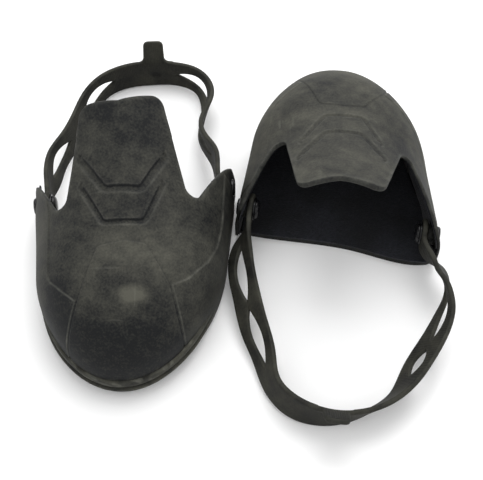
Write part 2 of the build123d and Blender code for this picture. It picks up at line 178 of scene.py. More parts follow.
def peak(x, centre, width):
    """A bell-shaped ridge, one at its centre."""
    return np.exp(-((x - centre) / width) ** 2)


def unit(v):
    """The same directions with length one."""
    return v / np.maximum(np.linalg.norm(v, axis=-1, keepdims=True), 1e-12)


def rounded(corners, closed=False):
    """Polyline through (x, y, radius) corners, with an arc at each corner that has a radius."""
    path = []
    count = len(corners)
    for i, (x, y, radius) in enumerate(corners):
        here = np.array([x, y], float)
        if radius == 0 or (not closed and i in (0, count - 1)):
            path.append(here)
            continue
        back = unit(np.array(corners[i - 1][:2]) - here)
        ahead = unit(np.array(corners[(i + 1) % count][:2]) - here)
        half = acos(float(np.clip(back @ ahead, -1, 1))) / 2
        centre = here + unit(back + ahead) * radius / np.sin(half)
        start = here + back * radius / np.tan(half) - centre
        end = here + ahead * radius / np.tan(half) - centre
        swing = pi - 2 * half
        for step in np.linspace(0, 1, max(3, int(swing * radius / EDGE_STEP) + 2)):
            blend = (np.sin((1 - step) * swing) * start + np.sin(step * swing) * end) / np.sin(swing)
            path.append(centre + blend)
    return np.array(path)


def spaced(path, step, closed=False):
    """The same polyline with its longer spans divided."""
    path = np.asarray(path, float)
    ends = np.roll(path, -1, axis=0) if closed else path[1:]
    out = []
    for a, b in zip(path, ends):
        parts = max(1, int(np.ceil(np.linalg.norm(b - a) / step)))
        out += [a + (b - a) * i / parts for i in range(parts)]
    if not closed:
        out.append(path[-1])
    return np.array(out)


def run_along(line):
    """Length from a line's start to each of its points."""
    return np.concatenate([[0], np.cumsum(np.linalg.norm(np.diff(line, axis=0), axis=1))])


def looked_up(at, run, line):
    """Points of a line at the given lengths."""
    return np.stack([np.interp(at, run, line[:, k]) for k in range(3)], 1)


def distance_to(points, path, closed=False):
    """Distance from each point to a polyline, and the sign of the side on which it lies."""
    ends = np.roll(path, -1, axis=0) if closed else path[1:]
    best = np.full(len(points), 1e9)
    side = np.zeros(len(points))
    for a, b in zip(path, ends):
        along = b - a
        size = max(along @ along, 1e-12)
        t = np.clip((points - a) @ along / size, 0, 1)
        gap = points - a - t[:, None] * along
        d = np.hypot(gap[:, 0], gap[:, 1])
        turn = along[0] * gap[:, 1] - along[1] * gap[:, 0]
        nearer = d < best
        best = np.where(nearer, d, best)
        side = np.where(nearer, np.sign(turn), side)
    return best, side


def inside(points, loops):
    """True for points inside an odd number of closed loops."""
    odd = np.zeros(len(points), bool)
    for loop in loops:
        for a, b in zip(loop, np.roll(loop, -1, axis=0)):
            if a[1] == b[1]:
                continue
            crosses = (points[:, 1] > min(a[1], b[1])) & (points[:, 1] <= max(a[1], b[1]))
            x = a[0] + (points[:, 1] - a[1]) * (b[0] - a[0]) / (b[1] - a[1])
            odd ^= crosses & (points[:, 0] < x)
    return odd


def inside_depth(points, corners):
    """Signed distance to a rounded closed outline, positive inside."""
    loop = rounded(corners, closed=True)
    distance, _ = distance_to(points, loop, closed=True)
    return np.where(inside(points, [loop]), distance, -distance)


def lattice(low, high, step):
    """Evenly spread points over a rectangle, every other row shifted by half a step."""
    rows = np.arange(low[1], high[1], step * 0.866)
    points = []
    for i, y in enumerate(rows):
        xs = np.arange(low[0] + (i % 2) * step / 2, high[0], step)
        points.append(np.stack([xs, np.full(len(xs), y)], 1))
    return np.vstack(points)


def flat_mesh(loops, needs_fine=None, coarse=COARSE):
    """Triangles that fill closed flat loops, finer where needs_fine(points) says so."""
    everything = np.vstack(loops)
    low, high = everything.min(0), everything.max(0)
    kept = []
    for step, is_fine in ((coarse, False), (FINE, True)):
        if is_fine and needs_fine is None:
            continue
        spots = lattice(low, high, step)
        if needs_fine is not None:
            spots = spots[needs_fine(spots) == is_fine]
        spots = spots[inside(spots, loops)]
        clear = np.full(len(spots), 1e9)
        for loop in loops:
            clear = np.minimum(clear, distance_to(spots, loop, closed=True)[0])
        kept.append(spots[clear > 0.55 * step])
    edges = []
    start = 0
    for loop in loops:
        count = len(loop)
        edges += [(start + i, start + (i + 1) % count) for i in range(count)]
        start += count
    points = [Vector(p) for p in np.vstack([everything] + kept)]
    verts, _, faces, _, _, _ = delaunay_2d_cdt(points, edges, [], 0, 1e-5)
    verts = np.array([tuple(v) for v in verts])
    faces = np.array([f for f in faces if len(f) == 3])
    faces = faces[inside(verts[faces].mean(1), loops)]
    a, b, c = (verts[faces[:, k]] for k in range(3))
    area = (b[:, 0] - a[:, 0]) * (c[:, 1] - a[:, 1]) - (b[:, 1] - a[:, 1]) * (c[:, 0] - a[:, 0])
    faces[area < 0] = faces[area < 0][:, ::-1]
    return verts, faces


def welded(points, flat, faces):
    """Joins points that fell on the same spot."""
    keys = np.round(points * 500).astype(np.int64)
    _, first, back = np.unique(keys, axis=0, return_index=True, return_inverse=True)
    faces = back.reshape(-1)[faces]
    good = (faces[:, 0] != faces[:, 1]) & (faces[:, 1] != faces[:, 2]) & (faces[:, 2] != faces[:, 0])
    return points[first], flat[first], faces[good]


def point_normals(points, faces):
    """Directions square to the surface at its points."""
    a, b, c = (points[faces[:, k]] for k in range(3))
    area = np.cross(b - a, c - a)
    normals = np.zeros_like(points)
    for k in range(3):
        np.add.at(normals, faces[:, k], area)
    return unit(normals)


def facing_out(points, faces, centre):
    """The triangles turned so that they face away from a centre, and their points' normals."""
    normals = point_normals(points, faces)
    if np.mean(np.sum(normals * (points - centre), axis=1)) < 0:
        return faces[:, ::-1], -normals
    return faces, normals


def open_edges(faces):
    """Directed edges that only one triangle has."""
    directed = np.vstack([faces[:, [0, 1]], faces[:, [1, 2]], faces[:, [2, 0]]])
    known = {(a, b) for a, b in directed.tolist()}
    return np.array([(a, b) for a, b in directed.tolist() if (b, a) not in known])


def thick_sheet(points, faces, normals, up, down, bulge, rows=6):
    """Closed skin around a sheet: up above it, down below it, and a rounded rim along its edges."""
    bulge = np.broadcast_to(bulge, len(points))
    outer = points + normals * up[:, None]
    inner = points - normals * down[:, None]
    edges = open_edges(faces)
    sideways = np.zeros_like(points)
    along = points[edges[:, 1]] - points[edges[:, 0]]
    push = unit(np.cross(along, normals[edges[:, 0]]))
    np.add.at(sideways, edges[:, 0], push)
    np.add.at(sideways, edges[:, 1], push)
    rim = np.unique(edges)
    sideways = unit(sideways)[rim]
    middle = (outer[rim] + inner[rim]) / 2
    half = (outer[rim] - inner[rim]) / 2
    reach = np.linalg.norm(half, axis=1, keepdims=True) * bulge[rim][:, None]
    count = len(points)
    place = np.full(count, -1)
    place[rim] = np.arange(len(rim))
    everything = [outer, inner]
    source = [np.arange(count), np.arange(count)]
    levels = [rim]
    for k in range(1, rows):
        angle = pi * k / rows
        everything.append(middle + half * np.cos(angle) + sideways * reach * np.sin(angle))
        source.append(rim)
        levels.append(2 * count + (k - 1) * len(rim) + np.arange(len(rim)))
    levels.append(rim + count)
    a, b = place[edges[:, 0]], place[edges[:, 1]]
    quads = [np.stack([high[b], high[a], low[a], low[b]], 1) for high, low in zip(levels, levels[1:])]
    solid = faces.tolist() + (faces[:, ::-1] + count).tolist() + np.vstack(quads).tolist()
    side = np.concatenate([np.ones(count), -np.ones(count), np.zeros(len(rim) * (rows - 1))])
    return np.vstack(everything), solid, np.concatenate(source), side


# ---------------------------------------------------------------- the frame

def home_offset():
    """Where the drawing's own origin lies in the frame, from the left strap's joint."""
    joint = next(j for j in frame["joints"] if j["name"] == "left_strap_swing")
    middle = (np.array(PIVOT[-1]) + np.array(PIVOT[1])) / 2
    x, y = PLACE["left"]
    return np.array(joint["pos_m"][:2]) / MM - middle[:2] - (x, y)


HOME = home_offset()


def placed(points, name):
    """Points of one overshoe's own frame, in metres in the row frame."""
    p = np.array(points, float)
    if name == "right":
        turn = radians(RIGHT_TURN)
        x, y = p[:, 0].copy(), -p[:, 1]
        p[:, 0] = np.cos(turn) * x - np.sin(turn) * y
        p[:, 1] = np.sin(turn) * x + np.cos(turn) * y
    p[:, :2] += np.array(PLACE[name]) + HOME
    return p * MM


def put_object(name, data):
    """A new object in the scene."""
    thing = bpy.data.objects.new(name, data)
    bpy.context.scene.collection.objects.link(thing)
    return thing


def make_object(piece_name, points, faces, name, body, material, replaces=(), values=None, uv=None):
    """A smooth mesh piece with point values for its material, riding on its body."""
    mesh = bpy.data.meshes.new(piece_name)
    mesh.from_pydata(placed(points, name).tolist(), [], faces)
    for key, value in (values or {}).items():
        layer = mesh.attributes.new(key, "FLOAT", "POINT")
        layer.data.foreach_set("value", np.asarray(value, np.float32))
    if uv is not None:
        corners = np.empty(len(mesh.loops), np.int32)
        mesh.loops.foreach_get("vertex_index", corners)
        layer = mesh.uv_layers.new(name="pattern")
        layer.data.foreach_set("uv", np.asarray(uv, np.float32)[corners].ravel())
    work = bmesh.new()
    work.from_mesh(mesh)
    bmesh.ops.recalc_face_normals(work, faces=work.faces)
    work.to_mesh(mesh)
    work.free()
    mesh.polygons.foreach_set("use_smooth", [True] * len(mesh.polygons))
    mesh.materials.append(material)
    piece = put_object(piece_name, mesh)
    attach(piece, body)
    if replaces:
        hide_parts(*replaces)
    return piece


# ---------------------------------------------------------------- the upper's form

def rim_setback(y):
    """How far the upper stands back behind the foxing band."""
    return RIM_DEPTH * fade(y, RIM_START, RIM_END)


def side_x(side, y, inset):
    """Plan outline: x of the medial or lateral side at y."""
    u = np.clip((y - inset) / (SIDE_RUN[side] - inset), 0, 1)
    return TOE_X + side * ((SIDE_BASE[side] - inset) * np.sqrt(1 - (1 - u) ** 2) + SIDE_FLARE[side] * y)


def section_side(side, y, count=121):
    """Evenly spaced points down one side of the outer skin at y, from the crown to the sole."""
    inset = rim_setback(y)
    crown = TOE_X + CROWN_SHIFT * min(y / CROWN_RUN, 1)
    top = curve_value(TOP_LINE, y - inset) - TOP_DROP * inset
    power = 2 / curve_value(ARCH_POWER, y)
    belt = min(BELT_Z, top - 2)
    steps = 80
    angle = np.linspace(pi / 2, 0, steps)
    reach = abs(side_x(side, y, inset) - crown)
    arch = np.stack([crown + side * reach * np.abs(np.cos(angle)) ** power, np.full(steps, y),
                     belt + (top - belt) * np.sin(angle) ** power], 1)
    foot = arch[-1] * (1, 1, 0) + (0, 0, SOLE)
    points = np.vstack([arch, arch[-1] + (foot - arch[-1]) * 0.5, foot])
    length = run_along(points)
    return looked_up(np.linspace(0, length[-1], count), length, points), length[-1]


def run_to_y(run):
    """Place along the overshoe at an unrolled run, which is stretched at the round toe."""
    return RIM_DEPTH + run**2 / (run + TOE_BLUNTNESS)


def y_to_run(y):
    """Unrolled run at a place along the overshoe."""
    rest = y - RIM_DEPTH
    return (rest + np.sqrt(rest**2 + 4 * TOE_BLUNTNESS * rest)) / 2


class UpperForm:
    """The upper's outer skin, unrolled: across is the arc from the crown, run the way back."""

    step = 0.75

    def __init__(self):
        self.runs = np.arange(0, y_to_run(149.0), self.step)
        self.rows = {}
        self.lengths = {}
        for side in (-1, 1):
            made = [section_side(side, run_to_y(run)) for run in self.runs]
            self.rows[side] = np.array([row for row, _ in made])
            self.lengths[side] = np.array([length for _, length in made])

    def length(self, side, run):
        """Length of the arc from the crown to the sole."""
        return np.interp(run, self.runs, self.lengths[side])

    def points(self, flat):
        """Unrolled places put back on the outer skin."""
        out = np.zeros((len(flat), 3))
        for side in (-1, 1):
            pick = flat[:, 0] * side >= 0 if side > 0 else flat[:, 0] < 0
            across, run = np.abs(flat[pick, 0]), np.clip(flat[pick, 1], 0, self.runs[-1])
            t = np.clip(across / self.length(side, run), 0, 1) * (self.rows[side].shape[1] - 1)
            j = np.minimum(t.astype(int), self.rows[side].shape[1] - 2)
            i = np.minimum((run / self.step).astype(int), len(self.runs) - 2)
            u, v = (run / self.step - i)[:, None], (t - j)[:, None]
            rows = self.rows[side]
            out[pick] = ((rows[i, j] * (1 - v) + rows[i, j + 1] * v) * (1 - u)
                         + (rows[i + 1, j] * (1 - v) + rows[i + 1, j + 1] * v) * u)
        return out

    def beside_pivot(self, side):
        """Unrolled place of the wing's skin beside the strap's pivot."""
        _, y, z = PIVOT[side]
        row, length = section_side(side, y)
        return np.array([side * np.interp(-z, -row[:, 2], np.linspace(0, length, len(row))), y_to_run(y)])

    def flatten(self, plan):
        """Unrolled places of points given in plan."""
        out = []
        for x, y in plan:
            run = y_to_run(y)
            side = 1 if x >= TOE_X + CROWN_SHIFT else -1
            row, length = section_side(side, y)
            out.append((side * np.interp(side * x, side * row[:, 0], np.linspace(0, length, len(row))), run))
        return np.array(out)


def opening_path(form):
    """Unrolled edge of the top opening, from the medial wing tip to the lateral one."""
    corners = [(*WING_TIP[-1], 0), (*NOTCH[-1], NOTCH_RADIUS), (*TONGUE_CORNER[-1], TONGUE_RADIUS),
               (*TONGUE_MIDDLE, 0), (*TONGUE_CORNER[1], TONGUE_RADIUS), (*NOTCH[1], NOTCH_RADIUS),
               (*WING_TIP[1], 0)]
    return form.flatten(spaced(rounded(corners), EDGE_STEP))


def upper_outline(form):
    """Closed unrolled outline of the upper, and its top edge alone."""
    top = opening_path(form)
    runs = {side: y_to_run(WING_TIP[side][1]) for side in (-1, 1)}
    foot = {side: (side * form.length(side, runs[side]), runs[side]) for side in (-1, 1)}
    wings = {}
    for side, neighbour in ((-1, top[2]), (1, top[-3])):
        tip = top[0] if side < 0 else top[-1]
        wings[side] = rounded([(*foot[side], 0), (*tip, WING_RADIUS), (*neighbour, 0)])
    sides = {}
    for side in (-1, 1):
        run = np.linspace(0, runs[side], int(runs[side] / EDGE_STEP))
        sides[side] = np.stack([side * form.length(side, run), run], 1)
    tip = float(form.length(1, 0.0))
    count = 2 * int(tip / EDGE_STEP) + 1
    front = np.stack([np.linspace(-tip, tip, count), np.zeros(count)], 1)
    back = np.vstack([wings[1][:-1], top[3:-3][::-1], wings[-1][:-1][::-1]])
    loop = np.vstack([front[:-1], sides[1][:-1], spaced(back, EDGE_STEP)[:-1], sides[-1][::-1][:-1]])
    return loop, top


def relief(points):
    """Moulded relief of the outer skin: height, painted shade lines, and light lines of wear and painted
    highlights.
    """
    plan = points[:, :2]
    toe_depth = inside_depth(plan, TOE_PANEL)
    height = PANEL_HEIGHT["toe"] * smooth((toe_depth + 0.35) / 0.7)
    # Painted shade along the foot of the toe panel's step, and a faint painted highlight, partly wear, along
    # its raised edge.
    dark = 0.17 * peak(toe_depth, -0.35, 0.5)
    light = 0.05 * peak(toe_depth, 0.45, 0.35)
    for panel in SIDE_PANELS:
        depth = inside_depth(plan, panel)
        height += PANEL_HEIGHT["side"] * smooth((depth + 0.35) / 0.7)
        rubbed = np.where(plan[:, 0] < 0, 0.42 * fade(plan[:, 1], 44, 60), 0.30)
        light += rubbed * peak(depth, 0.25, 0.36)
    for corners, width in CHEVRONS:
        path = rounded(corners)
        distance, side = distance_to(plan, path)
        below = np.where(side > 0, -distance, distance)
        ends = np.minimum(np.linalg.norm(plan - path[0], axis=1), np.linalg.norm(plan - path[-1], axis=1))
        reach = smooth((ends - 0.3) / 3.0)
        floor = smooth(below / 0.6) * (1 - smooth((below - width + 1.6) / 1.6))
        height -= CHEVRON_DEPTH * floor * reach
        # Painted shade in the chevron's sharp step and on its sunken floor.
        dark += (0.80 * peak(below, 0.25, 0.45) + 0.06 * floor) * reach
        # Painted highlights along the soft rise where the recess ends and along the lip above the sharp
        # step.
        light += (0.14 * peak(below, width, 0.6) + 0.10 * peak(below, -0.5, 0.4)) * reach
    return height, dark, light


def near_relief(form):
    """Test for unrolled points that need a fine mesh."""
    lines = [rounded(TOE_PANEL, closed=True)] + [rounded(panel, closed=True) for panel in SIDE_PANELS]
    chevrons = [(rounded(corners), width) for corners, width in CHEVRONS]

    def test(flat):
        plan = form.points(flat)[:, :2]
        close = np.zeros(len(flat), bool)
        for line in lines:
            close |= distance_to(plan, line, closed=True)[0] < FINE_REACH
        for line, width in chevrons:
            close |= distance_to(plan, line)[0] < width + 1.0
        return close
    return test


def wall_thickness(points):
    """Rubber wall: thick over the toe cap, thinner at the tongue, thinnest at the wings."""
    x, y = points[:, 0], points[:, 1]
    wing = smooth((y - 86) / 14) * smooth((np.abs(x - TOE_X) - 30) / 10)
    return WALL + (TOE_WALL - WALL) * fade(y, *CAP_FADE) - WING_THINNING * wing


def hills(points, size, seed):
    """Gentle waves that stand for hand-made unevenness, between -1 and 1."""
    rng = np.random.default_rng(seed)
    total = np.zeros(len(points))
    for _ in range(9):
        direction = unit(rng.normal(size=3)) / size * rng.uniform(0.6, 1.7)
        total += np.sin(points @ direction * 2 * pi + rng.uniform(0, 2 * pi))
    return total / 4.5


def blob(points, centre, radius):
    """One at a centre, fading to nought at a radius, with an uneven edge."""
    gap = np.linalg.norm((points - centre) / radius, axis=1)
    return smooth(1.15 - gap + 0.12 * hills(points, 9, 5))


# ---------------------------------------------------------------- materials

def add(tree, kind, **settings):
    """A new shader node with its settings and input values."""
    node = tree.nodes.new("ShaderNode" + kind)
    for key, value in settings.items():
        if hasattr(node, key):
            setattr(node, key, value)
        else:
            node.inputs[key.replace("_", " ")].default_value = value
    return node


def link(tree, a, b):
    tree.links.new(a, b)


def math(tree, operation, a, b, clamp=False):
    """Result of one sum on two values or sockets."""
    node = add(tree, "Math", operation=operation, use_clamp=clamp)
    for i, value in enumerate((a, b)):
        if isinstance(value, (int, float)):
            node.inputs[i].default_value = value
        else:
            link(tree, value, node.inputs[i])
    return node.outputs[0]


def times(tree, a, b):
    """One value or socket multiplied by another."""
    return math(tree, "MULTIPLY", a, b)


def plus(tree, a, b, clamp=False):
    """Two values or sockets added."""
    return math(tree, "ADD", a, b, clamp)


def noise(tree, scale, detail=3.0, stretch=None, rough=0.5):
    """Noise over the piece; stretch holds its scale and its turn along the three axes."""
    place = add(tree, "TexCoord").outputs["Object"]
    if stretch is not None:
        mapping = add(tree, "Mapping")
        mapping.inputs["Rotation"].default_value = stretch[1]
        mapping.inputs["Scale"].default_value = stretch[0]
        link(tree, place, mapping.inputs["Vector"])
        place = mapping.outputs["Vector"]
    node = add(tree, "TexNoise", Scale=scale, Detail=detail, Roughness=rough)
    link(tree, place, node.inputs["Vector"])
    return node.outputs["Fac"]


def remap(tree, value, low, high, to_low=0.0, to_high=1.0):
    """A value carried from one range to another and held at its ends."""
    node = add(tree, "MapRange", clamp=True)
    link(tree, value, node.inputs["Value"])
    for key, number in (("From Min", low), ("From Max", high), ("To Min", to_low), ("To Max", to_high)):
        node.inputs[key].default_value = number
    return node.outputs["Result"]


def mix(tree, factor, a, b):
    """Blend of two colours."""
    node = add(tree, "Mix", data_type="RGBA")
    for socket, value in ((node.inputs[0], factor), (node.inputs[6], a), (node.inputs[7], b)):
        if isinstance(value, tuple):
            socket.default_value = (*value, 1)
        elif isinstance(value, (int, float)):
            socket.default_value = value
        else:
            link(tree, value, socket)
    return node.outputs[2]


def start_material(name, **settings):
    """A new material, its node tree and its main shader with constant settings."""
    material = bpy.data.materials.new(name)
    material.use_nodes = True
    tree = material.node_tree
    tree.nodes.clear()
    shader = tree.nodes.new("ShaderNodeBsdfPrincipled")
    for key, value in settings.items():
        shader.inputs[key.replace("_", " ")].default_value = value
    output = tree.nodes.new("ShaderNodeOutputMaterial")
    link(tree, shader.outputs[0], output.inputs[0])
    return material, tree, shader


def bump(tree, shader, height, distance, strength):
    """Fine relief in the shading."""
    node = add(tree, "Bump", Strength=strength, Distance=distance)
    link(tree, height, node.inputs["Height"])
    link(tree, node.outputs[0], shader.inputs["Normal"])


def rubber(name, clean, dusty, scuffed, ribs=False):
    """Matte moulded rubber: dust and painted shade, wear and painted highlights where the point values say,
    mottling, hairline scratches and grain.
    """
    material, tree, shader = start_material(name, Specular_IOR_Level=0.16)
    # This point value holds dust and painted shade; painted shade lowers it towards the clean colour.
    dust_and_shade = add(tree, "Attribute", attribute_name="dust_and_shade").outputs["Fac"]
    patches = noise(tree, 26, 4.0, rough=0.62)
    spots = noise(tree, 210, 3.0, rough=0.6)
    specks = noise(tree, 750, 2.0, rough=0.6)
    amount = times(tree, dust_and_shade, remap(tree, patches, 0.30, 0.70, 0.74, 1.25))
    amount = plus(tree, amount, remap(tree, spots, 0.3, 0.75, -0.09, 0.11))
    amount = plus(tree, amount, remap(tree, specks, 0.3, 0.7, -0.15, 0.15), clamp=True)
    colour = mix(tree, amount, clean, dusty)
    hairs = noise(tree, 24, 2.0, stretch=((14, 1.3, 3), (0, 0, 0.5)))
    hairs = remap(tree, hairs, 0.665, 0.70)
    cross = remap(tree, noise(tree, 21, 2.0, stretch=((1.2, 17, 3), (0, 0, 0.3))), 0.68, 0.71)
    scuffs = times(tree, math(tree, "MAXIMUM", hairs, cross), remap(tree, patches, 0.5, 0.72))
    # The wear point value also holds painted highlights, which mix in the scuffed colour.
    worn_and_highlit = add(tree, "Attribute", attribute_name="wear_and_highlight").outputs["Fac"]
    worn_and_highlit = times(tree, worn_and_highlit, remap(tree, spots, 0.3, 0.7, 0.4, 1.0))
    light = math(tree, "MAXIMUM", times(tree, scuffs, 0.13), worn_and_highlit, clamp=True)
    colour = mix(tree, light, colour, scuffed)
    link(tree, colour, shader.inputs["Base Color"])
    dullness = remap(tree, plus(tree, patches, amount), 0.3, 1.5, 0.6, 0.8)
    link(tree, dullness, shader.inputs["Roughness"])
    grain = plus(tree, noise(tree, 1500, 2.0), times(tree, spots, 0.8))
    if ribs:
        across = add(tree, "UVMap", uv_map="pattern").outputs[0]
        wave = add(tree, "TexWave", wave_type="BANDS", bands_direction="X", Scale=255.0, Distortion=1.2)
        wave.inputs["Detail Scale"].default_value = 2.0
        link(tree, across, wave.inputs["Vector"])
        inner = add(tree, "Attribute", attribute_name="ribbed").outputs["Fac"]
        ridges = times(tree, wave.outputs["Fac"], inner)
        grain = plus(tree, grain, times(tree, ridges, 1.6))
    bump(tree, shader, grain, 0.00016, 0.55)
    return material


def cloth(name, dark, light, scale):
    """Napped dark textile with lint."""
    material, tree, shader = start_material(
        name, Roughness=0.95, Specular_IOR_Level=0.15, Sheen_Weight=0.10, Sheen_Roughness=0.6)
    nap = noise(tree, scale, 5.0, rough=0.75)
    patches = noise(tree, 30, 3.0, stretch=((1, 1, 0.4), (0.4, 0, 0)))
    fibres = noise(tree, scale * 0.6, 2.0, stretch=((1, 7, 2), (0.3, 0.8, 0.5)))
    factor = times(tree, remap(tree, patches, 0.40, 0.66, 0.10, 1.0), remap(tree, nap, 0.3, 0.75))
    colour = mix(tree, factor, dark, light)
    lint = times(tree, remap(tree, fibres, 0.70, 0.74), remap(tree, nap, 0.45, 0.6))
    colour = mix(tree, times(tree, lint, 0.35), colour, (0.09, 0.09, 0.09))
    link(tree, colour, shader.inputs["Base Color"])
    bump(tree, shader, plus(tree, nap, fibres), 0.0006, 0.8)
    return material


def gloss_black(name):
    """Glossy black rivet coating, rubbed at random."""
    material, tree, shader = start_material(name, Specular_IOR_Level=0.28, Coat_Weight=0.05)
    rubbed = noise(tree, 160, 2.0, rough=0.5)
    fine = noise(tree, 500, 1.0)
    colour = mix(tree, remap(tree, rubbed, 0.5, 0.75), (0.004, 0.004, 0.005), (0.016, 0.016, 0.014))
    link(tree, colour, shader.inputs["Base Color"])
    link(tree, remap(tree, rubbed, 0.35, 0.7, 0.22, 0.40), shader.inputs["Roughness"])
    bump(tree, shader, plus(tree, fine, times(tree, rubbed, 0.5)), 0.00002, 0.12)
    return material


def pressed_steel(name):
    """Sheet steel with drawing marks and a few dull patches."""
    material, tree, shader = start_material(name, Metallic=1.0)
    marks = noise(tree, 60, 4.0, stretch=((1, 14, 1), (0, 0, 0)))
    dull = noise(tree, 35, 4.0, rough=0.7)
    link(tree, mix(tree, dull, (0.30, 0.30, 0.29), (0.52, 0.52, 0.50)), shader.inputs["Base Color"])
    link(tree, remap(tree, marks, 0.3, 0.7, 0.28, 0.55), shader.inputs["Roughness"])
    bump(tree, shader, marks, 0.00008, 0.4)
    return material


def soft_plastic(name):
    """Soft black plastic with a fine leathery grain."""
    material, tree, shader = start_material(name, Specular_IOR_Level=0.4)
    grain = noise(tree, 700, 3.0)
    tone = noise(tree, 40, 3.0)
    link(tree, mix(tree, tone, (0.02, 0.02, 0.02), (0.05, 0.05, 0.048)), shader.inputs["Base Color"])
    link(tree, remap(tree, grain, 0.3, 0.7, 0.45, 0.65), shader.inputs["Roughness"])
    bump(tree, shader, grain, 0.0001, 0.4)
    return material


UPPER_RUBBER = rubber("upper_rubber", (0.0070, 0.0077, 0.0084), (0.077, 0.0755, 0.0610), (0.21, 0.21, 0.18))
SOLE_RUBBER = rubber("sole_rubber", (0.009, 0.0095, 0.009), (0.070, 0.068, 0.052), (0.20, 0.20, 0.17))
STRAP_RUBBER = rubber("strap_rubber", (0.0085, 0.0085, 0.0075), (0.044, 0.043, 0.033), (0.13, 0.13, 0.105),
                      ribs=True)
LINING_CLOTH = cloth("lining_nap", (0.0028, 0.0032, 0.0050), (0.015, 0.017, 0.025), 900)
FOOTBED_CLOTH = cloth("footbed_felt", (0.003, 0.0035, 0.0052), (0.022, 0.024, 0.033), 700)
RIVET_BLACK = gloss_black("rivet_black")
CAP_STEEL = pressed_steel("cap_steel")
STRIP_PLASTIC = soft_plastic("strip_plastic")


# ---------------------------------------------------------------- pieces

def turned(profile, centre, axis, count=40):
    """Closed solid of revolution from (distance along the axis, radius) rows."""
    axis = unit(np.array(axis, float))
    sideways = unit(np.cross(axis, (0, 0, 1)))
    upward = np.cross(sideways, axis)
    points, faces = [], []
    for along, radius in profile:
        for i in range(count):
            angle = 2 * pi * i / count
            points.append(np.array(centre) + axis * along
                          + (sideways * np.cos(angle) + upward * np.sin(angle)) * radius)
    for row in range(len(profile) - 1):
        for i in range(count):
            j = (i + 1) % count
            faces.append([row * count + i, row * count + j, (row + 1) * count + j, (row + 1) * count + i])
    faces.append(list(range(count))[::-1])
    faces.append([(len(profile) - 1) * count + i for i in range(count)])
    return np.array(points), faces


def pivot_axis():
    """Direction of the line through both rivets, from medial to lateral."""
    return unit(np.array(PIVOT[1]) - np.array(PIVOT[-1]))


def pivot_bosses():
    """Rounded rubber bosses inside the wings that the strap's pads bear on."""
    points, faces = np.zeros((0, 3)), []
    for side in (-1, 1):
        start = STRAP_THICKNESS / 2 + PAD_PLAY
        profile = [(start, SHANK_HOLE), (start, BOSS_RADIUS - 0.6), (start + 0.2, BOSS_RADIUS - 0.15),
                   (start + 0.7, BOSS_RADIUS), (start + BOSS_HEIGHT, BOSS_RADIUS)]
        more, its_faces = turned(profile, PIVOT[side], pivot_axis() * side)
        faces += [[index + len(points) for index in face] for face in its_faces]
        points = np.vstack([points, more])
    return points, faces


# Patches of more or less dust on each upper: amount, middle and reach
DUST_PATCHES = {
    "left": [(-0.50, (-34, 30, 34), (17, 24, 30)), (0.62, (11, 36, 55), (10.5, 6.8, 12)),
             (0.30, (34, 62, 56), (18, 24, 14)), (0.34, (6, 60, 64), (30, 18, 20)),
             (-0.12, (-30, 50, 48), (16, 22, 20))],
    "right": [(0.25, (-12, 24, 48), (12, 10, 10)), (0.20, (16, 20, 48), (16, 10, 12)),
              (0.30, (4, 72, 66), (36, 8, 14)), (-0.30, (40, 90, 58), (9, 14, 16)),
              (-0.22, (-26, 60, 55), (10, 12, 14)), (0.20, (-22, 74, 58), (9, 9, 14))],
}


def upper_dust(points, side, name):
    """Dust and wear over the upper: olive on the sides and over the vamp, dark at the toe and tongue."""
    x, y, z = points.T
    dust_and_shade = 0.38 + 0.12 * hills(points, 42, 11 if name == "left" else 23)
    dust_and_shade += 0.10 * hills(points, 15, 31 if name == "left" else 47)
    outboard = np.maximum(smooth((np.abs(x - TOE_X) - 34) / 14), 0)
    dust_and_shade += 0.16 * outboard * (x < 0) + 0.02 * outboard * (x > 0)
    if name == "left":
        dust_and_shade -= 0.34 * fade(y, 14, 34) * smooth((z - 14) / 6)
        dust_and_shade -= 0.10 + 0.12 * smooth((y - 100) / 35)
    else:
        dust_and_shade += 0.05 + 0.10 * fade(y, 18, 60) + 0.08 * hills(points, 11, 61)
        dust_and_shade -= 0.22 * smooth((y - 60) / 50) * smooth((np.abs(x) - 26) / 14)
    for amount, centre, radius in DUST_PATCHES[name]:
        dust_and_shade += amount * blob(points, centre, radius)
    return np.where(side > 0, np.clip(dust_and_shade, 0.02, 1), 0.12)


def upper_wear_and_highlights(points, light, edge, side):
    """Light lines along the relief's steps and the rim: rubbed wear, and painted highlights along the toe
    panel and the chevrons.
    """
    wear_and_highlight = light + 0.16 * peak(edge, 0, 1.1)
    wear_and_highlight *= 0.75 + 0.45 * hills(points, 12, 3)
    return np.where(side < 0, 0, np.clip(wear_and_highlight, 0, 0.6))


